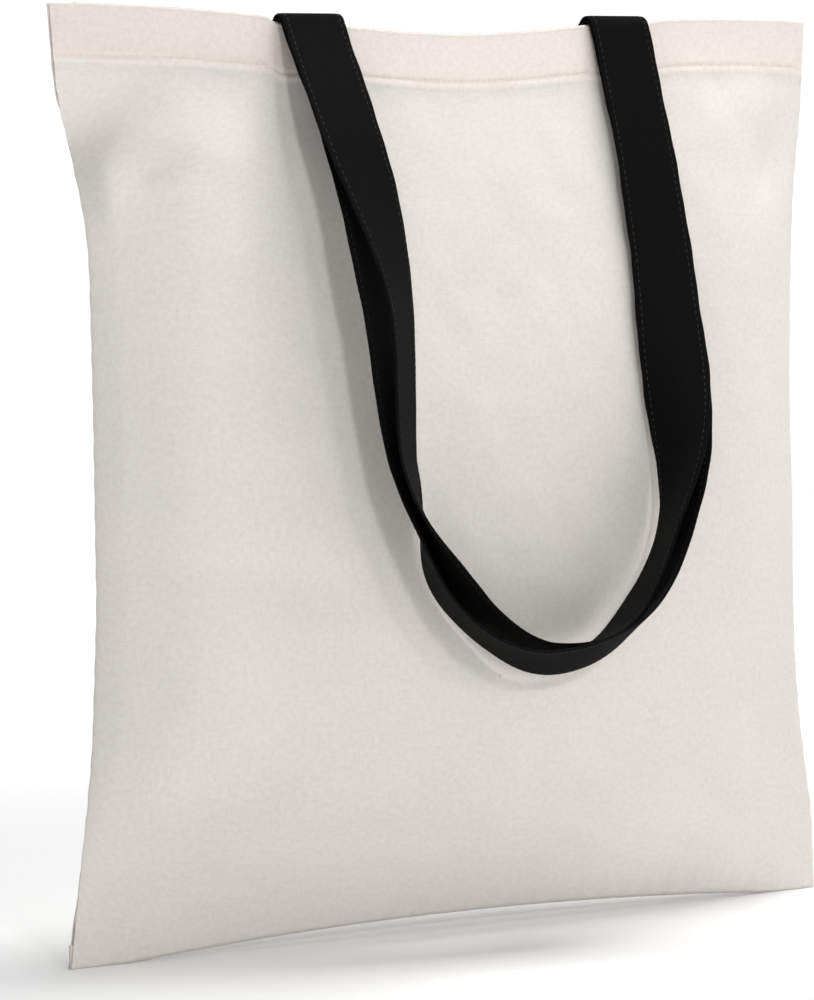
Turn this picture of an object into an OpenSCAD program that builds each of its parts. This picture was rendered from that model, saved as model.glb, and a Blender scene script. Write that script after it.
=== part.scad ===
// Canvas tote bag: two soft canvas panels joined at the sides and bottom, an
// inward-turned hem round the mouth, and two flat black web handles that come
// over the front edge of the mouth and hang, nested, in front of the bag. The rear
// handle crosses the mouth from the back hem, and both turn about the front edge.
// Millimetres. +X to the right seen from the front, the front faces -Y, +Z up,
// origin at the middle of the whole outline, on the plane the bottom corners
// stand on: the side and bottom seams lie in the plane y = mid_y.

/* [Bag] */
// Width across the top and bottom corners
bag_w = 381; // [300:1:450]
// Height from the bottom corners to the mouth at the side seams
bag_h = 406; // [300:1:480]
// How far each side edge is drawn in between the corners
side_draw = 13; // [0:1:25]
// How far the front panel stands out at its fullest
front_bulge = 48; // [20:1:70]
// How far the back panel stands out at its fullest
back_bulge = 38; // [10:1:70]
// How far the middle of the front hem stands out at the mouth
mouth_bow = 17.5; // [10:0.5:40]
// How far the mouth sags between the handles
mouth_sag = 11.3; // [0:0.1:20]
// How far the middle of the bottom edge is drawn up
bottom_rise = 7; // [0:0.5:15]
// Thickness of a panel
panel_t = 1.5; // [0.8:0.1:3]

/* [Hem and seams] */
// Depth of the turned hem
hem_h = 24; // [15:1:40]
// Thickness of the turned layer
hem_t = 1.3; // [0.8:0.1:3]
// Distance of the hem stitching above the hem's lower edge
hem_stitch_up = 3; // [1:0.5:8]
// Width of the turned-in seam allowance
seam_w = 10; // [6:1:15]
// Thickness of the seam allowance between the two panels
seam_t = 1.6; // [0.8:0.1:3]
// Thickness of sewing thread
thread_t = 0.3; // [0.2:0.05:0.6]

/* [Handles] */
// Width of the web
web_w = 30; // [20:1:40]
// Thickness of the web
web_t = 1.4; // [1:0.1:3]
// Distance of each handle end from the middle of the bag
handle_x = 77; // [50:1:110]
// Length of web sewn inside the hem
sewn_len = 26; // [15:1:40]
// Distance of the edge stitching from the edge of the web
edge_stitch_in = 2.5; // [1.5:0.5:5]

/* [Hidden] */
half_w = bag_w / 2;
mid_y = 23.1;                        // plane of the side and bottom seams
in_y = seam_t / 2 + 0.3;             // inner face of each panel at the seams
curl_y = mid_y - 16.1;               // axis about which the front edge is rounded
curl_r = 4.1;                        // front handle over the edge, to mid thickness
over_r = curl_r + 1.75;              // rear handle over the front one
rear_y = mid_y - 1.3;                // fold line of the rear handle
tilt = 2.4 / 154;                    // the mouth stands a little higher at the right
function fold_z(x) = 401.8 + tilt * x;   // fold line of the front handle
cross_to = curl_y + 5.6;             // the rear ends cross the mouth as far as this
nu = 28;
nv = 24;

// ---- shape of the bag -------------------------------------------------------
function xs(v) = half_w - side_draw * pow(1 - pow(abs(2 * v - 1), 3), 1.6);
function top_z(x) = bag_h + 0.3 - mouth_sag * exp(-pow((x + 10) / (x < -10 ? 97 : 89), 2))
    - 2.4 * exp(-pow((x + 89) / 9, 2)) - 1.9 * exp(-pow((x - 90) / 9, 2));  // pressed down under the webs
function low_z(x) = bottom_rise * max(0, 1 - pow(x / 165, 2));
// round at the sides at mid height, flat towards the corners
function across(u, v) = pow(max(0, 1 - u * u),
    0.52 + 0.5 * (exp(-pow((1 - v) / 0.13, 2)) + exp(-pow(v / 0.10, 2))));
// fullness up the height, 0 at the bottom seam, 1 at the fullest, m at the mouth
function full(v, m) = v < 0.45
    ? pow(1 - pow(1 - v / 0.45, 2), 0.75)
    : m + (1 - m) * pow(1 - pow((v - 0.45) / 0.55, 2), 1.2);
function front_in(u, v) = -(in_y + front_bulge * full(v, mouth_bow / front_bulge) * across(u, v));
function back_in(u, v) = in_y + back_bulge * full(v, 0) * across(u, v);
function spot(u, v, y) = let (x = u * xs(v))
    [x, mid_y + y, low_z(x) + v * (top_z(x) - low_z(x))];
// v at a given distance below the mouth
function below(d) = 1 - d / bag_h;

// A closed sheet between two grids of points, rows along v, columns along u
module sheet(a, b, flip) {
    r = len(a); c = len(a[0]); m = r * c;
    pts = concat([for (q = a) each q], [for (q = b) each q]);
    fa = [for (i = [0 : r - 2], j = [0 : c - 2]) each
        [[i*c+j, i*c+j+1, (i+1)*c+j+1], [i*c+j, (i+1)*c+j+1, (i+1)*c+j]]];
    fb = [for (f = fa) [f[2] + m, f[1] + m, f[0] + m]];
    loop = concat([for (j = [0 : c - 1]) j], [for (i = [1 : r - 1]) i*c + c-1],
                  [for (j = [c - 2 : -1 : 0]) (r-1)*c + j], [for (i = [r - 2 : -1 : 1]) i*c]);
    n = len(loop);
    fr = [for (k = [0 : n - 1]) let (p = loop[k], q = loop[(k+1) % n]) each
        [[q, p, p + m], [q, p + m, q + m]]];
    all = concat(fa, fb, fr);
    polyhedron(pts, flip ? [for (f = all) [f[2], f[1], f[0]]] : all, convexity = 6);
}

function us(lim, n) = [for (j = [0 : n]) lim * sin(90 * (2 * j / n - 1))];
function vs(a, b, n) = [for (i = [0 : n]) a + (b - a) * i / n];

// ---- ribbon swept along a list of [centre, edge direction] ------------------
function unit(a) = a / norm(a);
function way(p, i) = unit(p[min(i + 1, len(p) - 1)][0] - p[max(i - 1, 0)][0]);
function frame(p, i) = let (t = way(p, i), a = unit(p[i][1] - (p[i][1] * t) * t))
    [p[i][0], a, cross(a, t)];
// Cross-section runs across the web through the places ss and from n0 to n1 off the face
module ribbon(p, ss, n0, n1) {
    k = len(p); m = len(ss);
    fr = [for (i = [0 : k - 1]) frame(p, i)];
    pts = [for (f = fr) each concat([for (s = ss) f[0] + f[1]*s + f[2]*n0],
                                    [for (j = [m - 1 : -1 : 0]) f[0] + f[1]*ss[j] + f[2]*n1])];
    w = 2 * m;
    side = [for (i = [0 : k - 2], j = [0 : w - 1]) let (a = w*i + j, b = w*i + (j + 1) % w) each
        [[a, b, b + w], [a, b + w, a + w]]];
    e = (k - 1) * w;
    caps = [for (j = [0 : m - 2]) each [[j, w-1-j, w-2-j], [j, w-2-j, j+1],
        [e + j, e + w-2-j, e + w-1-j], [e + j, e + j+1, e + w-2-j]]];
    polyhedron(pts, concat(side, caps), convexity = 8);
}

// ---- route of the handles ---------------------------------------------------
// Front handle below the mouth: x, y from the seam plane, z of the middle of the web, then the turn
// of the web about its own length and the lift of its near edge, in degrees
route = [[-77, -19.95, 397.9, 0, 0], [-72.4, -45.6, 341.1, 15.8, 0.8], [-69.1, -59.3, 277.7, 36.5, 23.3],
    [-59.6, -64.1, 205.4, 44.7, 43.5], [-43, -66.2, 153, 74.2, 6], [-1.8, -74.4, 124.5, 68.7, 25.3],
    [46.2, -77.4, 137.4, 87.5, 28.6], [76.7, -68, 185.6, 93.9, 27.5], [84.4, -47.8, 265.2, 161.1, 6.2],
    [83.2, -34.3, 334.1, 177.1, 1.9], [77, -19.95, 400.3, 180, 0]];
// Rear handle: how far it lies off the front one's face, along its width, and its own turn
over = [[1.75, 0, 0], [7.3, 3.9, -8.5], [9.5, -2.9, 5.3], [5.4, 5, 11.8], [7.9, 0.7, 16.4],
    [7.2, -2.7, -8.6], [5.3, -9.5, -13.2], [6, 1.9, 6.2], [2.7, -0.8, 0.2], [2.5, -1.7, -0.3],
    [1.75, 0, 0]];
function ends(a) = concat([2 * a[0] - a[1]], a, [2 * a[len(a)-1] - a[len(a)-2]]);
function smooth(a, n) = let (e = ends(a), m = len(a) - 1)
    [for (k = [0 : n]) let (t = m * k / n, i = min(floor(t), m - 1), u = t - i,
        p = e[i], q = e[i+1], r = e[i+2], s = e[i+3])
        0.5 * (2*q + (r - p)*u + (2*p - 5*q + 4*r - s)*u*u + (3*q - p - 3*r + s)*u*u*u)];
function edge_way(a, b) = [-cos(a), -sin(a) * cos(b), sin(a) * sin(b)];
ns = 60;
guide = [for (q = smooth(route, ns)) [[q[0], q[1] + mid_y, q[2]], edge_way(q[3], q[4])]];
gap = smooth(over, ns);
// part of a turn over the rounded front edge: 0 is inside, 90 its top, 180 its face
function turn(side, r, a0, a1, n, out) = [for (k = [0 : n]) let (a = a0 + (a1 - a0) * k / n)
    [[side * handle_x, curl_y + r * cos(a), fold_z(side * handle_x) - curl_r + r * sin(a)],
     [out, 0, out * tilt]]];
function drop_last(a) = [for (i = [0 : len(a) - 2]) a[i]];
function drop_first(a) = [for (i = [1 : len(a) - 1]) a[i]];
front_path = concat(drop_last(turn(-1, curl_r, 90, 160, 6, -1)), guide,
    drop_first(turn(1, curl_r, 160, 90, 6, 1)));
rear_low = [for (i = [0 : ns]) let (f = frame(guide, i))
    [f[0] + f[2] * gap[i][0] + f[1] * gap[i][1], f[1] * cos(gap[i][2]) + f[2] * sin(gap[i][2])]];
rear_path = concat(drop_last(turn(-1, over_r, 115, 160, 5, -1)), rear_low,
    drop_first(turn(1, over_r, 160, 115, 5, 1)));
hw = web_w / 2;
ht = web_t / 2;
st = hw - edge_stitch_in;            // places across the web, with those under the stitching
web_ss = [-hw, -st - thread_t/2, -st + thread_t/2, -4, 4, st - thread_t/2, st + thread_t/2, hw];

module front_panel() {
    color([0.91, 0.885, 0.855])
    sheet([for (v = vs(0, 1, nv)) [for (u = us(1, nu)) spot(u, v, front_in(u, v) - panel_t)]],
          [for (v = vs(0, 1, nv)) [for (u = us(1, nu)) spot(u, v, front_in(u, v))]], true);
}

module back_panel() {
    color([0.91, 0.885, 0.855])
    sheet([for (v = vs(0, 1, nv)) [for (u = us(1, nu)) spot(u, v, back_in(u, v))]],
          [for (v = vs(0, 1, nv)) [for (u = us(1, nu)) spot(u, v, back_in(u, v) + panel_t)]], true);
}

// Turned layers lie against the inner faces and stop short of the side seams
module front_hem() {
    color([0.92, 0.89, 0.86])
    sheet([for (v = vs(below(hem_h), 1, 4)) [for (u = us(0.92, nu)) spot(u, v, front_in(u, v) + 0.1)]],
          [for (v = vs(below(hem_h), 1, 4)) [for (u = us(0.92, nu))
              spot(u, v, front_in(u, v) + 0.1 + hem_t)]], true);
}

module back_hem() {
    color([0.92, 0.89, 0.86])
    sheet([for (v = vs(below(hem_h), 1, 4)) [for (u = us(0.92, nu))
              spot(u, v, back_in(u, v) - 0.1 - hem_t)]],
          [for (v = vs(below(hem_h), 1, 4)) [for (u = us(0.92, nu)) spot(u, v, back_in(u, v) - 0.1)]], true);
}

// Seam allowances: flat strips between the panel edges
module side_strip() {
    v0 = 12 / bag_h;
    rotate([90, 0, 0]) translate([0, 0, -mid_y - seam_t / 2]) linear_extrude(seam_t)
    polygon(concat(
        [for (v = vs(v0, 0.998, 24)) let (x = xs(v) - 0.6) [x, v * bag_h]],
        [for (v = vs(0.998, v0, 24)) let (x = xs(v) - 0.6 - seam_w) [x, v * bag_h]]));
}
module right_side_seam() { color([0.88, 0.86, 0.83]) side_strip(); }
module left_side_seam() { color([0.88, 0.86, 0.83]) mirror([1, 0, 0]) side_strip(); }

module bottom_seam() {
    e = half_w - 0.6;
    xl = concat([-e, -165], [for (x = [-150 : 15 : 150]) x], [165, e]);
    color([0.88, 0.86, 0.83])
    rotate([90, 0, 0]) translate([0, 0, -mid_y - seam_t / 2]) linear_extrude(seam_t)
    polygon(concat([for (x = xl) [x, low_z(x)]],
        [for (i = [len(xl) - 1 : -1 : 0]) [xl[i] * 0.995, low_z(xl[i]) + seam_w]]));
}

module front_handle() { color([0.02, 0.02, 0.022]) ribbon(front_path, web_ss, -ht, ht); }
module rear_handle() { color([0.02, 0.02, 0.022]) ribbon(rear_path, web_ss, -ht, ht); }

// Sewn ends: upright inside the hem, the front ones starting to turn over the edge and
// the rear ones crossing the mouth towards it
module front_end(side) {
    x = side * handle_x; y = curl_y + curl_r; z = fold_z(x) - curl_r; w = [-1, 0, -tilt];
    color([0.02, 0.02, 0.022])
    ribbon(concat([[[x, y, z - sewn_len], w]],
        [for (a = [0 : 10 : 30]) [[x, curl_y + curl_r * cos(a), z + curl_r * sin(a)], w]]),
        [-hw, hw], -ht, ht);
}
module rear_end(side) {
    x = side * handle_x; z = fold_z(x); w = [-1, 0, -tilt]; r = 1.2;
    color([0.02, 0.02, 0.022])
    ribbon(concat([[[x, rear_y, z - curl_r - sewn_len], w]],
        [for (a = [0 : 15 : 90]) [[x, rear_y - r + r * cos(a), z - 0.8 + r * sin(a)], w]],
        [[[x, rear_y - 5, z + 0.7], w], [[x, cross_to, z + 1.4], w]]), [-hw, hw], -ht, ht);
}
module front_handle_left_end() { front_end(-1); }
module front_handle_right_end() { front_end(1); }
module rear_handle_left_end() { rear_end(-1); }
module rear_handle_right_end() { rear_end(1); }

// Hem stitching: a line of thread on the outer face of each panel
function hem_line(u) = below(hem_h - hem_stitch_up);
module front_hem_stitching() {
    v = hem_line(0); w = thread_t / bag_h;
    color([0.93, 0.9, 0.87])
    sheet([for (q = [v - w, v + w]) [for (u = us(0.97, nu))
              spot(u, q, front_in(u, q) - panel_t - 0.35 - thread_t)]],
          [for (q = [v - w, v + w]) [for (u = us(0.97, nu)) spot(u, q, front_in(u, q) - panel_t - 0.35)]], true);
}
module back_hem_stitching() {
    v = hem_line(0); w = thread_t / bag_h;
    color([0.93, 0.9, 0.87])
    sheet([for (q = [v - w, v + w]) [for (u = us(0.97, nu)) spot(u, q, back_in(u, q) + panel_t + 0.35)]],
          [for (q = [v - w, v + w]) [for (u = us(0.97, nu))
              spot(u, q, back_in(u, q) + panel_t + 0.35 + thread_t)]], true);
}

// Edge stitching: two lines of thread on the face of each web
module edge_stitching(p) {
    s = hw - edge_stitch_in;
    for (k = [-1, 1])
        ribbon(p, [k * s - thread_t / 2, k * s + thread_t / 2], ht + 0.03, ht + 0.03 + thread_t);
}
module front_handle_stitching() { color([0.03, 0.03, 0.03]) edge_stitching(front_path); }
module rear_handle_stitching() { color([0.03, 0.03, 0.03]) edge_stitching(rear_path); }

// Tacks: a stitched square with its two diagonals on the face of each sewn end
module tack(x, y) {
    a = web_w / 2 - 4; z0 = fold_z(x) - curl_r - sewn_len + 3; h = 18;
    translate([x, y, z0]) rotate([90, 0, 0]) linear_extrude(thread_t) {
        difference() {
            translate([-a, 0]) square([2 * a, h]);
            translate([-a + 0.6, 0.6]) square([2 * a - 1.2, h - 1.2]);
        }
        for (k = [-1, 1]) translate([0, h / 2]) rotate(k * atan2(h, 2 * a))
            square([norm([2 * a, h]) - 0.8, 0.6], center = true);
    }
}
module front_tack_stitching() {
    color([0.03, 0.03, 0.03])
    for (k = [-1, 1]) tack(k * handle_x, curl_y + curl_r + ht + 0.02 + thread_t);
}
module rear_tack_stitching() {
    color([0.03, 0.03, 0.03])
    for (k = [-1, 1]) tack(k * handle_x, rear_y - ht - 0.02);
}

front_panel();
back_panel();
front_hem();
back_hem();
left_side_seam();
right_side_seam();
bottom_seam();
front_handle();
rear_handle();
front_handle_left_end();
front_handle_right_end();
rear_handle_left_end();
rear_handle_right_end();
front_hem_stitching();
back_hem_stitching();
front_handle_stitching();
rear_handle_stitching();
front_tack_stitching();
rear_tack_stitching();
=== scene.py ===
import bpy, math
import numpy as np
from mathutils import Matrix, Vector


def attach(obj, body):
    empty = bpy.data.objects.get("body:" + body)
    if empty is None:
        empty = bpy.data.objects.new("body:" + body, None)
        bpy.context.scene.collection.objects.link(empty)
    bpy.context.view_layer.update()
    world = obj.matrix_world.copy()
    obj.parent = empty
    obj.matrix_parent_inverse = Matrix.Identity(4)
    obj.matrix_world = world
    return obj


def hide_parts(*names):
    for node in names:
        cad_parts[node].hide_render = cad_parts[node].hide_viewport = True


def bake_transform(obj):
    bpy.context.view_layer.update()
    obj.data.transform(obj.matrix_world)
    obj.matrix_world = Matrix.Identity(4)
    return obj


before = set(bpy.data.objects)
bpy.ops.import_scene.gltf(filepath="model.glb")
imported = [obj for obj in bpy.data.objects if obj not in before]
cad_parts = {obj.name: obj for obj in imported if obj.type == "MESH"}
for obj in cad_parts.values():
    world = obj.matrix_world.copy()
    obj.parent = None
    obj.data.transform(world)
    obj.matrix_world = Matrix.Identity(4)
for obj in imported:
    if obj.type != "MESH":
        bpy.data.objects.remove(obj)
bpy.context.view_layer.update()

# ---------------------------------------------------------------- measures, in metres
MID = 0.0231                       # y of the plane of the side and bottom seams
HALF_W, H = 0.1905, 0.406          # half width at the corners, height at the side seams
RISE, BOW = 0.0070, 0.0175         # rise of the bottom edge, bow of the front hem
BULGE_F, BULGE_B = 0.048, 0.038    # how far the front and the back swell out
IN_Y = 0.0011                      # middle of each panel from the seam plane at the seams
CLOTH = 0.0009                     # thickness of the canvas
HEM = 0.024                        # depth of the hem
STITCH = HEM - 0.003               # its stitched line, below the mouth
HX = 0.077                         # middle of each web end, from the middle of the bag
# bend over the front edge of the mouth: its axis, and the radii of the front and rear webs
CURL_Y, CURL_R, OVER_R = MID - 0.0161, 0.0041, 0.00585
TILT = 2.4 / 154                   # the mouth stands a little higher at the right
REAR_Y = MID - 0.0013              # y of the rear web's sewn ends
WEB_W, WEB_T, SEWN = 0.030, 0.0014, 0.026   # width and thickness of a web, length sewn down

# sewing: thread radius, stitch length and the distance from one stitch to the next
WEB_THREAD, WEB_STITCH, WEB_PITCH = 0.00022, 0.0024, 0.0031
HEM_THREAD, HEM_STITCH, HEM_PITCH = 0.00024, 0.0023, 0.0029
CHANNEL = 0.0025                   # stitched channels, in from the edges of the web
WEB_ROUND = 0.0007                 # rounding of the web's edges
WEB_STEP = 0.0015                  # rings along the web
RIM_R = 0.0012                     # fold of the hem over the rim
CUT_R = 0.0005                     # fold at the lower end of the hem
SEAM_T, SEAM_W = 0.0007, 0.0090    # half thickness and width of the seam allowances
SEAM_OFF, SEAM_R = 0.0006, 0.0006  # their start from the seam, and their rounded edge
SEAM_N = 420                       # points along a seam
TACK_A, TACK_H = 0.011, 0.018      # half width and height of a sewn square

def fold_z(side):
    """Height of the front web's middle at the top of its bend; side is -1 left, 1 right."""
    return 0.4018 + TILT * side * HX

# ---------------------------------------------------------------- bag shape
# How far the sides are drawn in, by height, at the left and right, in mm. The first values came
# from measuring scripts and were then changed by hand.
Z_L = (0, 39, 60, 91, 153, 237, 300, 321, 342, 363, 383, 406)
D_L = (0, 5.4, 8.6, 12.4, 16.0, 16.4, 16.0, 13.8, 9.0, 4.4, 1.7, 0)
Z_R = (0, 39, 60, 80, 112, 153, 237, 279, 321, 342, 363, 406)
D_R = (0, 1.4, 5.2, 8.6, 11.8, 12.8, 13.4, 12.0, 9.0, 6.1, 3.0, 0)

def draw(v, side):
    z = np.asarray(v) * 406.0
    zs, ds = (Z_L, D_L) if side < 0 else (Z_R, D_R)
    out = 0
    for k, w in ((-9, 0.25), (0, 0.5), (9, 0.25)):           # eased corners of the table
        out = out + w * np.interp(z + k * np.clip((406 - z) / 20, 0, 1) * np.clip(z / 20, 0, 1), zs, ds)
    if side < 0:
        out = out + 7.0 * np.exp(-((z - 352) / 22) ** 2)      # the seam is drawn in where it folds back
    return out / 1000

def top_z(x):
    w = np.where(x < -0.010, 0.097, 0.089)
    z = H + 0.0003 - 0.0113 * np.exp(-((x + 0.010) / w) ** 2)
    left = ease(-0.0965, -0.0925, x) * 0.0024 * np.exp(-((x + 0.089) / 0.009) ** 2)
    return z - left - 0.0019 * np.exp(-((x - 0.090) / 0.009) ** 2)

def low_z(x):
    return RISE * np.clip(1 - (x / 0.165) ** 2, 0, 1)

def full(v, m):
    a = np.clip(1 - (1 - np.clip(v / 0.45, 0, 1)) ** 2, 0, 1) ** 0.75
    t = np.clip((v - 0.45) / 0.55, 0, 1)
    return np.where(v < 0.45, a, m + (1 - m) * (1 - t ** 2) ** 1.2)

def ease(a, b, x):
    t = np.clip((x - a) / (b - a), 0, 1)
    return t * t * (3 - 2 * t)

def power(v, side):
    """Round at the sides at mid height, flat towards the corners; the left ear turns flat abruptly."""
    soft = 0.52 + 0.5 * (np.exp(-((1 - v) / 0.13) ** 2) + np.exp(-(v / 0.10) ** 2))
    ear = 0.68 + 0.42 * ease(0.84, 0.93, v) + 0.5 * np.exp(-(v / 0.10) ** 2)
    return ear if side < 0 else soft

def bump(x, z, cx, cz, sx, sz, turn=0.0):
    c, s = math.cos(math.radians(turn)), math.sin(math.radians(turn))
    dx, dz = x - cx, z - cz
    a, b = dx * c + dz * s, -dx * s + dz * c
    return np.exp(-(a / sx) ** 2 - (b / sz) ** 2)

def lean(x, z):
    """Both panels fold back together under the left ear."""
    return 0.0185 * np.exp(-((z - 0.352) / 0.023) ** 2) * np.exp(-((x + 0.188) / 0.030) ** 2)

def shoulder(x, z, ax, az, bx, bz, high, wall, back):
    """A crest along a line from a to b, steep on its left and slow on its right."""
    L = math.hypot(bx - ax, bz - az)
    tx, tz = (bx - ax) / L, (bz - az) / L
    s = ((x - ax) * tx + (z - az) * tz) / L
    d = -(x - ax) * tz + (z - az) * tx
    prof = np.where(d > 0, np.clip(1 - d / wall, 0, 1), np.exp(-(d / back) ** 2))
    return high * prof * ease(-0.35, 0.25, s) * ease(1.35, 0.5, s)

def relief_front(x, z):
    """Soft folds and dents of the front panel, in metres, out from the bag."""
    r = shoulder(x, z, -0.180, 0.316, -0.160, 0.354, 0.0038, 0.008, 0.012)
    r -= 0.0040 * bump(x, z, -0.148, 0.335, 0.015, 0.009, 30)    # and the dent that runs on from it
    r += 0.0018 * bump(x, z, -0.118, 0.300, 0.030, 0.014, 30)
    r -= 0.0038 * bump(x, z, 0.160, 0.338, 0.020, 0.011, 52)     # dent by the right edge
    r += 0.0018 * bump(x, z, 0.150, 0.366, 0.030, 0.012, 30)
    r -= 0.0026 * bump(x, z, -0.135, 0.062, 0.050, 0.014, 38)    # pulls from the bottom corners
    r += 0.0020 * bump(x, z, -0.108, 0.052, 0.050, 0.012, 32)
    r -= 0.0034 * bump(x, z, 0.145, 0.050, 0.045, 0.014, -42)
    r += 0.0018 * bump(x, z, 0.112, 0.055, 0.045, 0.013, -32)
    r += 0.0010 * bump(x, z, 0.020, 0.034, 0.110, 0.010, 3)
    # full flanks
    r += 0.0065 * np.exp(-((x + 0.136) / 0.028) ** 2) * ease(0.03, 0.14, z) * ease(0.378, 0.338, z)
    r += 0.0035 * np.exp(-((x - 0.140) / 0.030) ** 2) * ease(0.03, 0.14, z) * ease(0.39, 0.33, z)
    r -= 0.0022 * bump(x, z, -0.120, 0.165, 0.050, 0.012, -12)   # slow bands down the left
    r += 0.0018 * bump(x, z, -0.110, 0.222, 0.045, 0.014, 8)
    return r

def relief_back(x, z):
    """The same for the back panel."""
    r = -0.0060 * bump(x, z, 0.158, 0.348, 0.030, 0.012, 40)
    r += 0.0038 * bump(x, z, 0.142, 0.320, 0.026, 0.014, 50)
    r -= 0.0055 * bump(x, z, -0.155, 0.344, 0.030, 0.012, -40)
    r += 0.0034 * bump(x, z, -0.138, 0.318, 0.026, 0.014, -48)
    r -= 0.0034 * bump(x, z, -0.130, 0.058, 0.050, 0.014, 38)
    r -= 0.0034 * bump(x, z, 0.132, 0.058, 0.050, 0.014, -38)
    r += 0.0026 * bump(x, z, 0.030, 0.210, 0.012, 0.110, 12)
    r -= 0.0020 * bump(x, z, -0.045, 0.190, 0.014, 0.090, -8)
    return r

rng = np.random.default_rng(7)
WAVES = [(rng.uniform(-1, 1), rng.uniform(-1, 1), rng.uniform(0, 6.28), rng.uniform(0.6, 1))
         for _ in range(14)]

def ripple(x, z):
    """Slow unevenness of handled cloth."""
    s = 0
    for i, (a, b, p, k) in enumerate(WAVES):
        f = 26 + 9 * i
        s = s + k / (1 + i * 0.6) * np.sin(f * (a * x + b * z) * 3.2 + p)
    return s

def pucker(x, phase):
    return np.sin(x * 2 * math.pi / 0.0067 + phase) * np.sin(x * 2 * math.pi / 0.031 + 1.3 * phase)

def wrap(v):
    """How far round the left end, in radians, the front panel reaches before its seam."""
    return 0.30 * ease(0.93, 0.80, v) * ease(0.03, 0.16, v)

def panel_xyz(q, v, side):
    """Middle of the cloth. q runs -1 to 1 across the panel and v 0 to 1 up it;
    y is from the seam plane, out from the bag."""
    q, v = np.broadcast_arrays(np.asarray(q, float), np.asarray(v, float))
    w = wrap(v)
    lo = -w if side == "front" else w
    phi = lo + (math.pi - lo) * (q + 1) / 2             # 0 at the left end of the bag, pi at the right
    u = -np.cos(phi)
    halfw = HALF_W - np.where(u < 0, draw(v, -1), draw(v, 1))
    x = u * halfw
    z = low_z(x) + v * (top_z(x) - low_z(x))
    d = top_z(x) - z                                  # below the mouth
    p = power(v, -1) * ease(0.25, -0.35, u) + power(v, 1) * (1 - ease(0.25, -0.35, u))
    ac = np.abs(np.sin(phi)) ** (2 * p)
    f_front = BULGE_F * full(v, BOW / BULGE_F)
    f_back = BULGE_B * full(v, 0.0)
    if side == "front":
        y = np.where(phi >= 0, IN_Y + f_front * ac, -f_back * ac)
        y = np.where(phi < 0, y + IN_Y * ease(-0.30, 0, phi), y)
        r = relief_front(x, z)
    else:
        y = IN_Y + f_back * ac
        y = y - IN_Y * (1 - ease(0.0, 0.1, phi - w)) * np.clip(w / 0.05, 0, 1)
        r = relief_back(x, z)
    edge = ease(0, 0.05, 1 - np.abs(u)) * ease(0, 0.04, v) * ease(0, 0.03, d)
    y = y + edge * (r + 0.00035 * ripple(x, z))
    # the turned hem stands a layer proud and the stitching draws it in
    hem = 1 / (1 + np.exp((d - HEM) / 0.0005))
    inner = ease(0, 0.02, 1 - np.abs(u))
    sunk = 0.00055 * np.exp(-((d - STITCH) / 0.0010) ** 2) * (1 + 0.35 * pucker(x, 0.4))
    y = y + inner * (0.0007 * hem - sunk)
    # little gathers where the seams pull
    by_side = 0.00030 * np.exp(-((1 - np.abs(u)) / 0.02) ** 2) * np.sin(z * 2 * math.pi / 0.013)
    y = y + by_side * np.clip(v * 8, 0, 1) * np.clip((1 - v) * 12, 0, 1)
    y = y + 0.00028 * np.exp(-(v / 0.03) ** 2) * np.sin(x * 2 * math.pi / 0.012 + 0.7)
    return x, y, z

def at_x(x, v, side):
    """Point of the panel at a given x, away from its left end."""
    lo = -wrap(np.asarray(v, float)) if side == "front" else wrap(np.asarray(v, float))
    halfw = HALF_W - np.where(x < 0, draw(v, -1), draw(v, 1))
    phi = np.arccos(np.clip(-x / halfw, -1, 1))
    return panel_xyz(2 * (phi - lo) / (math.pi - lo) - 1, v, side)

def new_mesh(name, verts, faces, uv=None, smooth=True):
    me = bpy.data.meshes.new(name)
    me.from_pydata([tuple(p) for p in verts], [], [tuple(f) for f in faces])
    if uv is not None:
        lay = me.uv_layers.new(name="cloth")
        idx = np.zeros(len(me.loops), np.int32)
        me.loops.foreach_get("vertex_index", idx)
        lay.data.foreach_set("uv", np.asarray(uv, np.float32)[idx].ravel())
    if smooth:
        me.polygons.foreach_set("use_smooth", [True] * len(me.polygons))
    me.validate()
    ob = bpy.data.objects.new(name, me)
    bpy.context.scene.collection.objects.link(ob)
    return ob

def closed_sheet(name, A, B, uvgrid):
    """A closed cloth between the grids of points A, seen from outside, and B."""
    r, c = A.shape[:2]
    m = r * c
    i, j = np.meshgrid(np.arange(r - 1), np.arange(c - 1), indexing="ij")
    a = (i * c + j).ravel()
    b = a + 1
    d = a + c
    e = d + 1
    fa = np.stack([a, b, e, d], 1)
    fb = np.stack([d, e, b, a], 1) + m
    loop = list(range(c)) + [k * c + c - 1 for k in range(1, r)]
    loop += [(r - 1) * c + k for k in range(c - 2, -1, -1)]
    loop += [k * c for k in range(r - 2, 0, -1)]
    loop = np.array(loop)
    nx = np.roll(loop, -1)
    fr = np.stack([nx, loop, loop + m, nx + m], 1)
    verts = np.concatenate([A.reshape(-1, 3), B.reshape(-1, 3)])
    uv = np.concatenate([uvgrid.reshape(-1, 2)] * 2)
    return new_mesh(name, verts, np.concatenate([fa, fb, fr]).tolist(), uv)

def vrows(n):
    """Rows up the panel, closer together at the hem."""
    return np.concatenate([np.linspace(0, 0.925, n)[:-1], np.linspace(0.925, 1, 46)])

def normals(P, out_sign):
    n = np.cross(np.gradient(P, axis=1), np.gradient(P, axis=0))
    n /= np.linalg.norm(n, axis=2, keepdims=True) + 1e-12
    return -n if np.sum(n[..., 1]) * out_sign < 0 else n

def lengths(P, axis):
    d = np.linalg.norm(np.diff(P, axis=axis), axis=2)
    pad = np.zeros((P.shape[0], 1)) if axis else np.zeros((1, P.shape[1]))
    return np.concatenate([pad, np.cumsum(d, axis=axis)], axis)

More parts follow.
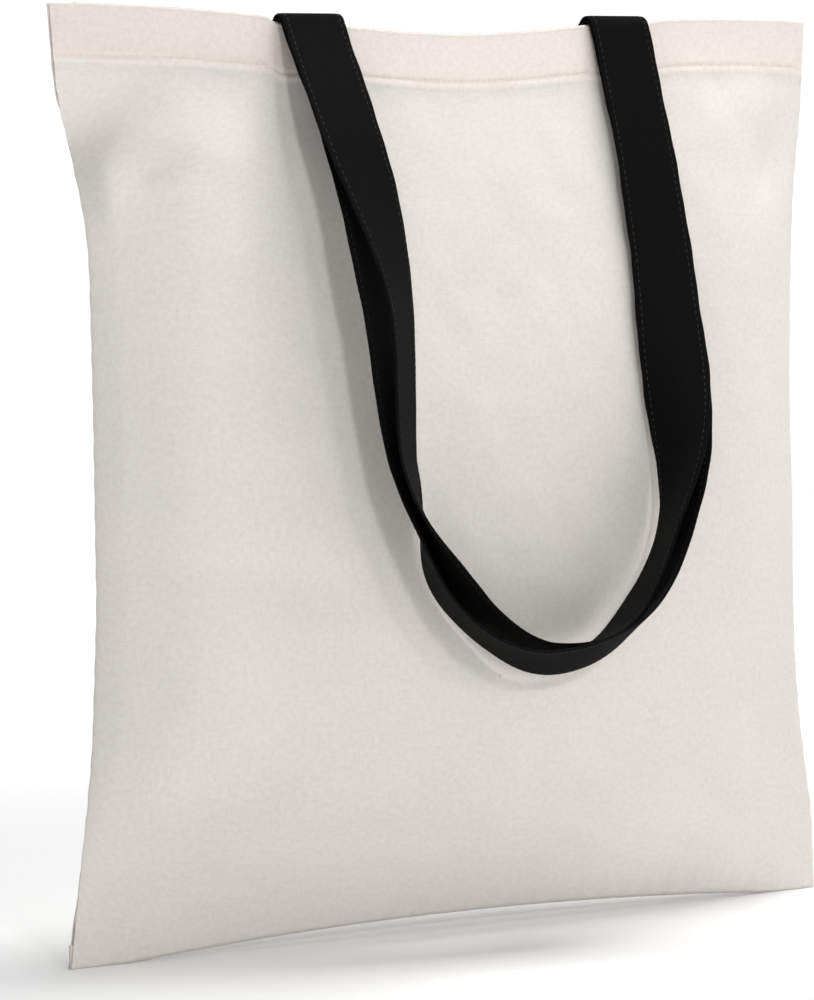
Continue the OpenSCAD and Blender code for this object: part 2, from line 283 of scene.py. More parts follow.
def panel(name, side):
    sgn = -1 if side == "front" else 1
    Q, V = np.meshgrid(np.linspace(-1, 1, 281), vrows(190))
    x, y, z = panel_xyz(Q, V, side)
    P = np.stack([x, MID + sgn * y + lean(x, z), z], 2)
    n = normals(P, sgn)
    out, inn = P + n * CLOTH / 2, P - n * CLOTH / 2
    for g in (out, inn):
        g[..., 2] = np.maximum(g[..., 2], 0.0)
    su = lengths(P, 1)
    su -= su[:, [su.shape[1] // 2]]
    down = lengths(P, 0)
    down -= down[[-1]]                                # 0 at the mouth, so the hem can be found
    uvg = np.stack([su, down], 2)
    if sgn > 0:
        out, inn, uvg = out[:, ::-1], inn[:, ::-1], uvg[:, ::-1]
    return closed_sheet(name, out, inn, uvg)

front = panel("front_canvas", "front")
back = panel("back_canvas", "back")

# ---------------------------------------------------------------- hems
def hem(name, side):
    """The inner, turned layer of the hem with the fold over the rim."""
    sgn = -1 if side == "front" else 1
    xh = np.linspace(-0.180, 0.180, 241)
    prof = []                        # distance below the mouth, and inwards from the middle of the panel
    for a in np.linspace(-30, 180, 13):
        t = math.radians(a)
        prof.append((0.0006 - RIM_R * math.sin(t), 0.0007 - RIM_R * math.cos(t)))
    for d in np.linspace(0.001, HEM - 0.0008, 22)[1:]:
        prof.append((d, 0.0019))
    for a in np.linspace(0, 180, 9):
        t = math.radians(a)
        prof.append((HEM - 0.0008 + CUT_R * math.sin(t), 0.0014 + CUT_R * math.cos(t)))
    for d in np.linspace(HEM - 0.002, 0.0015, 16):
        prof.append((d, 0.0009))
    rows = []
    for d, off in prof:
        v = 1 - max(d, 0.0) / H
        x, y, _ = at_x(xh, np.full_like(xh, v), side)
        pull = 0.0003 * math.exp(-((d - STITCH) / 0.0011) ** 2) if off > 0.0015 else 0
        z = top_z(x) - d
        rows.append(np.stack([x, MID + sgn * (y - off + pull) + lean(x, z), z], 1))
    G = np.array(rows)                       # profile by along
    n, c = G.shape[:2]
    faces = []
    for i in range(n):
        k = (i + 1) % n
        for j in range(c - 1):
            q = (i * c + j, i * c + j + 1, k * c + j + 1, k * c + j)
            faces.append(q if sgn < 0 else q[::-1])
    caps = [tuple(i * c for i in range(n)), tuple(i * c + c - 1 for i in range(n))]
    faces.append(caps[0] if sgn < 0 else caps[0][::-1])
    faces.append(caps[1][::-1] if sgn < 0 else caps[1])
    along = np.concatenate([[0], np.cumsum(np.linalg.norm(np.diff(G, axis=0), axis=2).mean(1))])
    uv = np.stack([G[..., 0], np.broadcast_to(along[:, None], G.shape[:2])], 2)
    return new_mesh(name, G.reshape(-1, 3), faces, uv.reshape(-1, 2))

front_hem = hem("front_hem_fold", "front")
back_hem = hem("back_hem_fold", "back")

# ---------------------------------------------------------------- seam allowances
def seam_strip(name, points, inward, flip):
    """A flat double strip with an overlocked edge, from a line of points inward."""
    prof = []
    for k in np.linspace(0.0, 1.0, 9):
        prof.append((SEAM_OFF + SEAM_W * k, SEAM_T))
    for a in np.linspace(60, -60, 5):
        t = math.radians(a)
        high = SEAM_T * math.sin(t) / math.sin(math.radians(60))
        prof.append((SEAM_OFF + SEAM_W + SEAM_R * math.cos(t), high))
    for k in np.linspace(1.0, 0.0, 9):
        prof.append((SEAM_OFF + SEAM_W * k, -SEAM_T))
    L = np.concatenate([[0], np.cumsum(np.linalg.norm(np.diff(points, axis=0), axis=1))])
    rows = []
    for d, h in prof:
        e = 0.00025 * np.sin(L * 2 * math.pi / 0.0024) * (1 if d > 0.007 else 0.1)
        off = np.stack([np.zeros_like(L), np.full_like(L, h) + np.sign(h) * e, np.zeros_like(L)], 1)
        rows.append(points + inward * d + off)
    G = np.array(rows)
    n, c = G.shape[:2]
    faces = [(i * c + j, i * c + j + 1, ((i + 1) % n) * c + j + 1, ((i + 1) % n) * c + j)
             for i in range(n) for j in range(c - 1)]
    faces += [tuple(i * c for i in range(n)), tuple(i * c + c - 1 for i in range(n))[::-1]]
    if flip:
        faces = [f[::-1] for f in faces]
    across = np.array([p[0] + 0.003 * (p[1] < 0) for p in prof])
    uv = np.stack([np.broadcast_to(L[None], (n, c)), np.broadcast_to(across[:, None], (n, c))], 2)
    return new_mesh(name, G.reshape(-1, 3), faces, uv.reshape(-1, 2))

def seam_line(q):
    """The line up one side where both panels meet."""
    v = np.linspace(0.03, 0.985, SEAM_N)
    a = panel_xyz(np.full(SEAM_N, q), v, "front")
    b = panel_xyz(np.full(SEAM_N, q), v, "back")
    x = (a[0] + b[0]) / 2
    return np.stack([x, MID + (b[1] - a[1]) / 2 + lean(x, a[2]), a[2]], 1)

def bottom_line():
    """The line along the bottom edge, in the seam plane."""
    x, _, z = panel_xyz(np.linspace(-0.985, 0.985, SEAM_N), np.zeros(SEAM_N), "front")
    return np.stack([x, np.full(SEAM_N, MID), z], 1)

def way(*d):
    """The same direction at every point of a seam."""
    return np.tile(d, (SEAM_N, 1))

left_seam = seam_strip("left_seam_allowance", seam_line(-1), way(1.0, 0, 0), True)
right_seam = seam_strip("right_seam_allowance", seam_line(1), way(-1.0, 0, 0), False)
bottom_seam = seam_strip("bottom_seam_allowance", bottom_line(), way(0, 0, 1.0), False)

# ---------------------------------------------------------------- handles
# Stations of the front handle below the mouth: x, y from the seam plane and z of the middle of the
# web, in mm, then two angles of its width in degrees: the turn in plan, and the tilt out of it.
# ROUTE and OVER repeat the part's source. They are the result of a numerical fit and not a course
# chosen by hand, apart from both ends of each and the spacings 5.4, 7.9 and 5.3 in OVER.
ROUTE = [(-77, -19.95, 397.9, 0, 0), (-72.4, -45.6, 341.1, 15.8, 0.8), (-69.1, -59.3, 277.7, 36.5, 23.3),
    (-59.6, -64.1, 205.4, 44.7, 43.5), (-43, -66.2, 153, 74.2, 6), (-1.8, -74.4, 124.5, 68.7, 25.3),
    (46.2, -77.4, 137.4, 87.5, 28.6), (76.7, -68, 185.6, 93.9, 27.5), (84.4, -47.8, 265.2, 161.1, 6.2),
    (83.2, -34.3, 334.1, 177.1, 1.9), (77, -19.95, 400.3, 180, 0)]
# Rear handle: its distance off the front one's face, its shift along the width, both in mm, and
# its own turn about its run, in degrees
OVER = [(1.75, 0, 0), (7.3, 3.9, -8.5), (9.5, -2.9, 5.3), (5.4, 5, 11.8), (7.9, 0.7, 16.4),
    (7.2, -2.7, -8.6), (5.3, -9.5, -13.2), (6, 1.9, 6.2), (2.7, -0.8, 0.2), (2.5, -1.7, -0.3),
    (1.75, 0, 0)]

def smooth(rows, n):
    """A smooth curve through the rows, cut into n steps."""
    a = np.array(rows, float)
    e = np.vstack([2 * a[0] - a[1], a, 2 * a[-1] - a[-2]])
    out = []
    for t in np.linspace(0, len(a) - 1, n + 1):
        i = min(int(t), len(a) - 2)
        u = t - i
        p, q, r, s = e[i:i + 4]
        curve = (2 * p - 5 * q + 4 * r - s) * u * u
        out.append(0.5 * (2 * q + (r - p) * u + curve + (3 * q - p - 3 * r + s) * u ** 3))
    return np.array(out)

def frames(c, w):
    """Directions across the web and out of its face, square to its run."""
    t = np.gradient(c, axis=0)
    t /= np.linalg.norm(t, axis=1, keepdims=True)
    a = w - (w * t).sum(1, keepdims=True) * t
    a /= np.linalg.norm(a, axis=1, keepdims=True)
    return c, a, np.cross(a, t)

NS = 300
g = smooth(ROUTE, NS)
ang, lift = np.radians(g[:, 3]), np.radians(g[:, 4])
guide_c = g[:, :3] / 1000 + np.array([0, MID, 0])
guide_w = np.stack([-np.cos(ang), -np.sin(ang) * np.cos(lift), np.sin(ang) * np.sin(lift)], 1)
gc, ga, gn = frames(guide_c, guide_w)
ov = smooth(OVER, NS)
own = np.radians(ov[:, 2:3])
low_c = gc + gn * ov[:, :1] / 1000 + ga * ov[:, 1:2] / 1000
low_w = ga * np.cos(own) + gn * np.sin(own)

def turn(side, r, a0, a1, n):
    """Bend over the front edge of the mouth, from angle a0 to a1."""
    a = np.radians(np.linspace(a0, a1, n + 1))
    z = fold_z(side) - CURL_R + r * np.sin(a)
    return np.stack([np.full(n + 1, side * HX), CURL_Y + r * np.cos(a), z], 1)

def line_up(side, pts, n):
    """A smooth run through points given as y and height above the fold."""
    q = smooth([(a, b) for a, b in pts], n)
    return np.stack([np.full(len(q), side * HX), q[:, 0], fold_z(side) + q[:, 1]], 1)

def path(end, body, w):
    """The sewn end, the bend over the edge and the hanging loop, both sides."""
    L, R = end(-1)[:-1], end(1)[::-1][1:]
    c = np.concatenate([L, body, R])
    wd = np.concatenate([np.tile([-1.0, 0, -TILT], (len(L), 1)), w, np.tile([1.0, 0, TILT], (len(R), 1))])
    return c, wd

inner_y = CURL_Y + CURL_R
def front_end(side):
    """From inside the front hem up and over the edge of the mouth."""
    z = np.linspace(-CURL_R - SEWN, -CURL_R, 27)
    up = np.stack([np.full(27, side * HX), np.full(27, inner_y), fold_z(side) + z], 1)
    return np.concatenate([up[:-1], turn(side, CURL_R, 0, 160, 22)])

def rear_end(side):
    """From the back hem up, across the mouth and over the front web's bend."""
    over = [(REAR_Y, -CURL_R - SEWN), (REAR_Y, -0.018), (REAR_Y, -0.0095),
            (REAR_Y - 0.0008, -0.0062), (REAR_Y - 0.0040, -0.0042), (REAR_Y - 0.0085, -0.0018),
            (CURL_Y + 0.0028, 0.0012), (CURL_Y, OVER_R - CURL_R)]
    return np.concatenate([line_up(side, over, 90)[:-1], turn(side, OVER_R, 90, 160, 14)])

front_c, front_w = path(front_end, guide_c, guide_w)
rear_c, rear_w = path(rear_end, low_c, low_w)

def even(c, w, step):
    """The same course in equal steps, and its length."""
    s = np.concatenate([[0], np.cumsum(np.linalg.norm(np.diff(c, axis=0), axis=1))])
    n = int(round(s[-1] / step))
    t = np.linspace(0, s[-1], n + 1)
    c2 = np.stack([np.interp(t, s, c[:, k]) for k in range(3)], 1)
    w2 = np.stack([np.interp(t, s, w[:, k]) for k in range(3)], 1)
    return c2, w2, s[-1]

def web_face(x, hw, ht):
    """Height of the web's face at x, a little lower in the stitched channel and at the edge."""
    d = hw - abs(x)
    channel = 0.00016 * math.exp(-((d - CHANNEL) / 0.0005) ** 2)
    return ht - channel - 0.00030 * math.exp(-(d / WEB_ROUND) ** 2)

def web_edge(side, hw, ht):
    """Rounded edge of the web, at side 1 from its face to its back, at side -1 the other way."""
    rim = []
    for q in np.linspace(80 * side, -80 * side, 5):
        t = math.radians(q)
        rim.append((side * (hw - WEB_ROUND + WEB_ROUND * math.cos(t)), (ht - 0.0002) * math.sin(t)))
    return rim

def web(name, c, w, give):
    """give: how far the web bows off its line where the two straps cross."""
    c, w, length = even(c, w, WEB_STEP)
    c, a, n = frames(c, w)
    s = np.linspace(0, length, len(c))
    c = c + n * (give * np.exp(-((s / length - 0.365) / 0.032) ** 2))[:, None]
    hw, ht = WEB_W / 2, WEB_T / 2
    rim = hw - WEB_ROUND
    prof = [(x, web_face(x, hw, ht)) for x in np.linspace(-rim, rim, 22)]
    prof += web_edge(1, hw, ht)
    prof += [(x, -web_face(x, hw, ht)) for x in np.linspace(rim, -rim, 22)]
    prof += web_edge(-1, hw, ht)
    m = len(prof)
    N = len(c)
    X = np.array([p[0] for p in prof])
    Hh = np.array([p[1] for p in prof])
    wob = 0.00018 * np.sin(s * 2 * math.pi / 0.047 + 0.5) + 0.00012 * np.sin(s * 2 * math.pi / 0.019)
    fine = 0.00005 * np.sin(s * 2 * math.pi / 0.0031)
    across = a[:, None] * (X[None, :, None] + wob[:, None, None])
    out = n[:, None] * (Hh[None, :, None] + (fine[:, None] * np.sign(Hh)[None, :])[..., None])
    P = c[:, None] + across + out
    i, j = np.meshgrid(np.arange(N - 1), np.arange(m), indexing="ij")
    j2 = (j + 1) % m
    q = np.stack([i * m + j, i * m + j2, (i + 1) * m + j2, (i + 1) * m + j], -1).reshape(-1, 4)
    faces = q.tolist() + [tuple(range(m))[::-1], tuple((N - 1) * m + k for k in range(m))]
    girth = np.concatenate([[0], np.cumsum(np.hypot(np.diff(X), np.diff(Hh)))])
    uv = np.stack([np.broadcast_to(girth[None, :], (N, m)), np.broadcast_to(s[:, None], (N, m))], 2)
    return new_mesh(name, P.reshape(-1, 3), faces, uv.reshape(-1, 2)), length, (c, a, n, s)

front_web, len_f, ff = web("front_web", front_c, front_w, 0.0013)
rear_web, len_r, fr = web("rear_web", rear_c, rear_w, -0.0010)

def thread_run(name, points, dirs, ups, length, radius, flat=0.6):
    """One small rounded stitch at each point."""
    V, F = [], []
    ring = 6
    prof = [(-0.5, 0.25), (-0.36, 0.85), (0.0, 1.0), (0.36, 0.85), (0.5, 0.25)]
    b = 0
    for p, d, u in zip(points, dirs, ups):
        d = d / np.linalg.norm(d)
        u = u - (u @ d) * d
        u = u / np.linalg.norm(u)
        w = np.cross(d, u)
        for t, r in prof:
            sink = -radius * 0.9 * (2 * abs(t)) ** 2
            for k in range(ring):
                a = 2 * math.pi * k / ring
                high = math.sin(a) * r * radius * flat + sink
                V.append(p + d * t * length + w * (math.cos(a) * r * radius) + u * high)
        for i in range(len(prof) - 1):
            for k in range(ring):
                low, up, k2 = b + i * ring, b + (i + 1) * ring, (k + 1) % ring
                F.append((low + k, low + k2, up + k2, up + k))
        F.append(tuple(b + k for k in range(ring))[::-1])
        F.append(tuple(b + (len(prof) - 1) * ring + k for k in range(ring)))
        b += len(prof) * ring
    return new_mesh(name, V, F)

def along(t, s, points):
    """Points at the distances t, where s is the distance of each given point."""
    return np.stack([np.interp(t, s, points[:, i]) for i in range(3)], 1)

def web_stitches(name, course, lo, hi):
    """A row along both edges, on both faces."""
    c, a, n, s = course
    pts, dirs, ups = [], [], []
    off = WEB_W / 2 - CHANNEL
    t = np.arange(lo, hi, WEB_PITCH)
    for k in (-1, 1):
        for f in (-1, 1):
            cc = c + a * off * k + n * f * (WEB_T / 2 - 0.00006)
            pts += list(along(t, s, cc))
            dirs += list(along(t + 0.0005, s, cc) - along(t - 0.0005, s, cc))
            ups += list(along(t, s, n * f))
    return thread_run(name, pts, dirs, ups, WEB_STITCH, WEB_THREAD)

front_web_st = web_stitches("front_web_stitches", ff, 0.003, len_f - 0.003)
rear_web_st = web_stitches("rear_web_stitches", fr, 0.003, len_r - 0.003)

def hem_stitches(name, side):
    """A row outside and a row inside, through the hem."""
    sgn = -1 if side == "front" else 1
    x = np.arange(-0.183, 0.1831, HEM_PITCH)
    X, Y, Z = at_x(x, np.full_like(x, 1 - STITCH / H), side)
    P = np.stack([X, MID + sgn * (Y + CLOTH / 2 + 0.00002) + lean(X, Z), Z], 1)
    T = np.gradient(P, axis=0)
    pts, dirs, ups = list(P), list(T), [np.array([0, sgn, 0.0])] * len(P)
    inside = np.abs(X) < 0.178
    pts += list(np.stack([X, MID + sgn * (Y - 0.0020), Z], 1)[inside])
    dirs += list(T[inside])
    ups += [np.array([0, -sgn, 0.0])] * int(inside.sum())
    return thread_run(name, pts, dirs, ups, HEM_STITCH, HEM_THREAD)

front_hem_st = hem_stitches("front_hem_stitches", "front")
back_hem_st = hem_stitches("back_hem_stitches", "back")

def tack(name, side):
    """Sewn squares with diagonals, on the inner face of the web's ends."""
    sgn = -1 if side == "front" else 1
    pts, dirs, ups = [], [], []
    a, h = TACK_A, TACK_H
    runs = [((-a, 0), (a, 0)), ((a, 0), (a, h)), ((a, h), (-a, h)), ((-a, h), (-a, 0)),
            ((-a, 0), (a, h)), ((-a, h), (a, 0))]
    face = (inner_y + WEB_T / 2) if side == "front" else (REAR_Y - WEB_T / 2)
    for k in (-1, 1):
        z0 = fold_z(k) - CURL_R - SEWN + 0.003
        for p, q in runs:
            p, q = np.array(p), np.array(q)
            L = np.linalg.norm(q - p)
            n = max(2, int(L / HEM_PITCH))
            for t in (np.arange(n) + 0.5) / n:
                e = p + (q - p) * t
                d = (q - p) / L
                pts.append(np.array([k * HX + e[0], face, z0 + e[1]]))
                dirs.append(np.array([d[0], 0, d[1]]))
                ups.append(np.array([0, -sgn, 0.0]))
    return thread_run(name, pts, dirs, ups, HEM_STITCH, HEM_THREAD)

front_tack = tack("front_tacks", "front")
rear_tack = tack("rear_tacks", "back")

# ---------------------------------------------------------------- materials
def mat(name):
    m = bpy.data.materials.new(name)
    m.use_nodes = True
    nt = m.node_tree
    b = nt.nodes["Principled BSDF"]
    return m, nt, b

class N:
    """Short hand for building node trees."""
    def __init__(self, nt):
        self.nt = nt
    def add(self, kind, **kw):
        n = self.nt.nodes.new(kind)
        for k, v in kw.items():
            setattr(n, k, v)
        return n
    def link(self, a, b):
        self.nt.links.new(a, b)
    def math(self, op, a, b=None, c=None, clamp=False):
        n = self.add("ShaderNodeMath", operation=op)
        n.use_clamp = clamp
        for i, x in enumerate((a, b, c)):
            if x is None:
                continue
            if isinstance(x, (int, float)):
                n.inputs[i].default_value = x
            else:
                self.link(x, n.inputs[i])
        return n.outputs[0]
    def ramp(self, fac, stops):
        n = self.add("ShaderNodeValToRGB")
        e = n.color_ramp.elements
        while len(e) < len(stops):
            e.new(0.5)
        for el, (p, c) in zip(e, stops):
            el.position = p
            el.color = (*c, 1) if len(c) == 3 else c
        self.link(fac, n.inputs[0])
        return n.outputs[0]
    def mix(self, fac, a, b, mode="MIX"):
        n = self.add("ShaderNodeMix", data_type="RGBA", blend_type=mode)
        ins = [n.inputs[0], n.inputs[6], n.inputs[7]]
        for s, x in zip(ins, (fac, a, b)):
            if isinstance(x, (int, float)):
                s.default_value = x
            elif isinstance(x, tuple):
                s.default_value = (*x, 1)
            else:
                self.link(x, s)
        return n.outputs[2]
    def noise(self, vec, scale, detail=3, rough=0.55):
        n = self.add("ShaderNodeTexNoise")
        n.inputs["Scale"].default_value = scale
        n.inputs["Detail"].default_value = detail
        n.inputs["Roughness"].default_value = rough
        self.link(vec, n.inputs["Vector"])
        return n.outputs[0]

def weave_height(k, uvx, uvy, pitch_x, pitch_y):
    """Plain weave: warp and weft pass over and under in turn."""
    a = k.math("MULTIPLY", uvx, 1 / pitch_x)
    b = k.math("MULTIPLY", uvy, 1 / pitch_y)
    def thread(p, q):
        prof = k.math("ABSOLUTE", k.math("SINE", k.math("MULTIPLY", p, math.pi)))
        par = k.math("MULTIPLY", k.math("FLOOR", p), math.pi)
        wave = k.math("SINE", k.math("ADD", k.math("MULTIPLY", q, math.pi), par))
        return k.math("MULTIPLY", prof, k.math("MULTIPLY_ADD", wave, 0.42, 0.58))
    b2 = k.math("ADD", b, 1.0)
    return k.math("MAXIMUM", thread(a, b), thread(b2, a))

def cloth_coords(k, wobble=0.00012):
    uv = k.add("ShaderNodeUVMap", uv_map="cloth").outputs[0]
    nz = k.add("ShaderNodeTexNoise")
    nz.inputs["Scale"].default_value = 260
    nz.inputs["Detail"].default_value = 2
    k.link(uv, nz.inputs["Vector"])
    off = k.add("ShaderNodeVectorMath", operation="MULTIPLY_ADD")
    k.link(nz.outputs[1], off.inputs[0])
    off.inputs[1].default_value = (wobble, wobble, 0)
    k.link(uv, off.inputs[2])
    sep = k.add("ShaderNodeSeparateXYZ")
    k.link(off.outputs[0], sep.inputs[0])
    return uv, sep.outputs[0], sep.outputs[1]

def stretch(k, uv, sx, sy):
    m = k.add("ShaderNodeVectorMath", operation="MULTIPLY")
    k.link(uv, m.inputs[0])
    m.inputs[1].default_value = (sx, sy, 1)
    return m.outputs[0]

def hem_tints_and_painted_light(k, uv, tone):
    """Tints by distance below the mouth: the hem's warmer tone, a slightly darker beige band about its
    stitched line, a painted highlight along the hem's lower edge and painted shade under it.
    """
    sp = k.add("ShaderNodeSeparateXYZ")
    k.link(uv, sp.inputs[0])
    mm = k.math("MULTIPLY", sp.outputs[1], -1000.0)
    def step(lo, hi):
        r = k.add("ShaderNodeMapRange")
        r.interpolation_type = "SMOOTHSTEP"
        k.link(mm, r.inputs["Value"])
        r.inputs["From Min"].default_value = lo
        r.inputs["From Max"].default_value = hi
        return r.outputs[0]
    def strip(start, end):
        return k.math("MULTIPLY", step(*start), k.math("SUBTRACT", 1.0, step(*end)))
    def tint(share, colour):
        return k.mix(share, tone, k.mix(1.0, tone, colour, "MULTIPLY"))
    tone = tint(k.math("SUBTRACT", 1.0, step(23.6, 24.6)), (1.040, 1.002, 0.996))
    beige = k.math("MULTIPLY", strip((16.0, 20.0), (21.0, 23.0)), 0.6)
    tone = tint(beige, (0.985, 0.975, 0.95))
    # painted highlight: a lighter strip along the ridge of the hem's lower edge
    tone = tint(strip((22.8, 23.6), (24.2, 25.2)), (1.035, 1.035, 1.03))
    # painted shade: a darker strip under the hem's lower edge
    return tint(strip((24.4, 25.6), (26.5, 33.0)), (0.962, 0.965, 0.975))

def canvas(name, base, warm, hem=False):
    """Unbleached plain weave with slubs, blotches and specks of seed."""
    m, nt, bs = mat(name)
    k = N(nt)
    uv, X, Y = cloth_coords(k)
    h = weave_height(k, X, Y, 0.00056, 0.00060)
    warp = k.noise(stretch(k, uv, 1700, 150), 1.0, 2)        # slubs along the warp
    weft = k.noise(stretch(k, uv, 160, 1600), 1.0, 2)        # and along the weft
    blot = k.noise(uv, 22, 3)
    mottle = k.noise(uv, 420, 3)
    fine = k.noise(uv, 1100, 2)
    dull, clear = tuple(c * 0.978 for c in base), tuple(c * w for c, w in zip(base, warm))
    tone = k.ramp(blot, [(0.3, dull), (0.7, clear)])
    streak = k.math("ADD", k.math("MULTIPLY", warp, 0.5), k.math("MULTIPLY", weft, 0.5))
    streak_tint = k.ramp(streak, [(0.30, (0.970, 0.968, 0.962)), (0.70, (1.02, 1.02, 1.02))])
    tone = k.mix(1.0, tone, streak_tint, "MULTIPLY")
    mottle_tint = k.ramp(mottle, [(0.32, (0.955, 0.950, 0.940)), (0.62, (1.015, 1.015, 1.015))])
    tone = k.mix(1.0, tone, mottle_tint, "MULTIPLY")
    # painted shade in the weave: darker in its low points, a little lighter on its raised threads
    weave_painted_shade = k.ramp(h, [(0.15, (0.93, 0.925, 0.91)), (0.85, (1.02, 1.02, 1.02))])
    tone = k.mix(1.0, tone, weave_painted_shade, "MULTIPLY")
    # the hem's tints, with a painted highlight and painted shade at its lower edge
    if hem:
        tone = hem_tints_and_painted_light(k, uv, tone)
    vo = k.add("ShaderNodeTexVoronoi", feature="F1")
    vo.inputs["Scale"].default_value = 130
    k.link(stretch(k, uv, 1.0, 1.25), vo.inputs["Vector"])
    sepc = k.add("ShaderNodeSeparateColor")
    k.link(vo.outputs["Color"], sepc.inputs[0])
    pick = k.math("GREATER_THAN", sepc.outputs[0], 0.965)
    size = k.math("MULTIPLY", sepc.outputs[1], 0.030)
    dot = k.math("LESS_THAN", vo.outputs["Distance"], k.math("ADD", size, 0.030))
    speck = k.math("MULTIPLY", pick, dot)
    depth = k.math("MULTIPLY", speck, k.math("MULTIPLY_ADD", sepc.outputs[2], 0.45, 0.20))
    tone = k.mix(depth, tone, (0.24, 0.19, 0.14))
    k.link(tone, bs.inputs["Base Color"])
    bs.inputs["Roughness"].default_value = 0.92
    bs.inputs["Specular IOR Level"].default_value = 0.25
    bs.inputs["Sheen Weight"].default_value = 0.12
    bs.inputs["Sheen Roughness"].default_value = 0.55
    hh = k.math("ADD", k.math("MULTIPLY", h, 0.7), k.math("MULTIPLY", k.math("ADD", streak, fine), 0.25))
    b1 = k.add("ShaderNodeBump")
    b1.inputs["Strength"].default_value = 0.25
    b1.inputs["Distance"].default_value = 0.00018
    k.link(hh, b1.inputs["Height"])
    b2 = k.add("ShaderNodeBump")
    b2.inputs["Strength"].default_value = 0.22
    b2.inputs["Distance"].default_value = 0.0012
    k.link(k.noise(uv, 60, 4), b2.inputs["Height"])
    k.link(b1.outputs[0], b2.inputs["Normal"])
    k.link(b2.outputs[0], bs.inputs["Normal"])
    return m

def black_web(name):
    """Close black weave with a little lint."""
    m, nt, bs = mat(name)
    k = N(nt)
    uv, X, Y = cloth_coords(k, 0.00008)
    h = weave_height(k, X, Y, 0.00050, 0.00046)
    streak = k.noise(stretch(k, uv, 1500, 90), 1.0, 2)
    fine = k.noise(uv, 1400, 2)
    # tone from the weave's height and the yarn's streaks: painted shade in the weave's low points, mixed
    # with the yarn's own streaks
    t = k.math("ADD", k.math("MULTIPLY", h, 0.55), k.math("MULTIPLY", streak, 0.45))
    tone = k.ramp(t, [(0.2, (0.0020, 0.0020, 0.0021)), (0.8, (0.0060, 0.0060, 0.0059))])
    vo = k.add("ShaderNodeTexVoronoi", feature="F1")
    vo.inputs["Scale"].default_value = 150
    k.link(uv, vo.inputs["Vector"])
    sepc = k.add("ShaderNodeSeparateColor")
    k.link(vo.outputs["Color"], sepc.inputs[0])
    pick = k.math("GREATER_THAN", sepc.outputs[0], 0.97)
    lint = k.math("MULTIPLY", pick, k.math("LESS_THAN", vo.outputs["Distance"], 0.05))
    tone = k.mix(k.math("MULTIPLY", lint, 0.5), tone, (0.05, 0.048, 0.045))
    k.link(tone, bs.inputs["Base Color"])
    bs.inputs["Roughness"].default_value = 0.85
    bs.inputs["Specular IOR Level"].default_value = 0.06
    bs.inputs["Sheen Weight"].default_value = 0.004
    bs.inputs["Sheen Roughness"].default_value = 0.5
    b1 = k.add("ShaderNodeBump")
    b1.inputs["Strength"].default_value = 0.55
    b1.inputs["Distance"].default_value = 0.00022
    k.link(k.math("ADD", k.math("MULTIPLY", h, 0.7), k.math("MULTIPLY", fine, 0.4)), b1.inputs["Height"])
    k.link(b1.outputs[0], bs.inputs["Normal"])
    return m

def thread(name, col, sheen):
    m, nt, bs = mat(name)
    k = N(nt)
    tc = k.add("ShaderNodeTexCoord").outputs["Object"]
    n = k.noise(tc, 2600, 2)
    k.link(k.ramp(n, [(0.3, tuple(c * 0.8 for c in col)), (0.7, col)]), bs.inputs["Base Color"])
    bs.inputs["Roughness"].default_value = 0.7
    bs.inputs["Sheen Weight"].default_value = sheen
    wv = k.add("ShaderNodeTexWave")
    wv.inputs["Scale"].default_value = 900
    k.link(tc, wv.inputs["Vector"])
    b = k.add("ShaderNodeBump")
    b.inputs["Strength"].default_value = 0.4
    b.inputs["Distance"].default_value = 0.0001
    k.link(wv.outputs[1], b.inputs["Height"])
    k.link(b.outputs[0], bs.inputs["Normal"])
    return m

CREAM = (0.815, 0.782, 0.752)
m_canvas = canvas("natural_canvas", CREAM, (1.015, 1.01, 1.0), hem=True)
m_hem = canvas("natural_canvas_hem", (0.845, 0.785, 0.75), (1.02, 1.0, 0.99))
m_web = black_web("black_web_cloth")
m_cream = thread("cream_thread_cotton", (0.80, 0.75, 0.68), 0.1)
m_black = thread("black_thread_cotton", (0.012, 0.012, 0.012), 0.02)

def dress(ob, m, slot, *nodes):
    ob.data.materials.clear()
    ob.data.materials.append(m)
    if nodes:
        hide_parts(*nodes)

dress(front, m_canvas, "canvas", "front_panel")
dress(back, m_canvas, "canvas", "back_panel")
dress(front_hem, m_hem, "canvas_hem", "front_hem")
dress(back_hem, m_hem, "canvas_hem", "back_hem")
dress(front_web, m_web, "black_web", "front_handle", "front_handle_left_end", "front_handle_right_end")
dress(rear_web, m_web, "black_web", "rear_handle", "rear_handle_left_end", "rear_handle_right_end")
dress(front_web_st, m_black, "black_thread", "front_handle_stitching")
dress(rear_web_st, m_black, "black_thread", "rear_handle_stitching")
dress(front_hem_st, m_cream, "cream_thread", "front_hem_stitching")
dress(back_hem_st, m_cream, "cream_thread", "back_hem_stitching")
dress(front_tack, m_black, "black_thread", "front_tack_stitching")
dress(rear_tack, m_black, "black_thread", "rear_tack_stitching")
dress(left_seam, m_hem, "canvas", "left_side_seam")
dress(right_seam, m_hem, "canvas", "right_side_seam")
dress(bottom_seam, m_hem, "canvas", "bottom_seam")

for ob in (front, back, front_hem, back_hem, front_hem_st, back_hem_st, front_tack, rear_tack,
           left_seam, right_seam, bottom_seam):
    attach(ob, "bag")
for ob in (front_web, front_web_st):
    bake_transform(ob)
for ob in (rear_web, rear_web_st):
    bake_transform(ob)

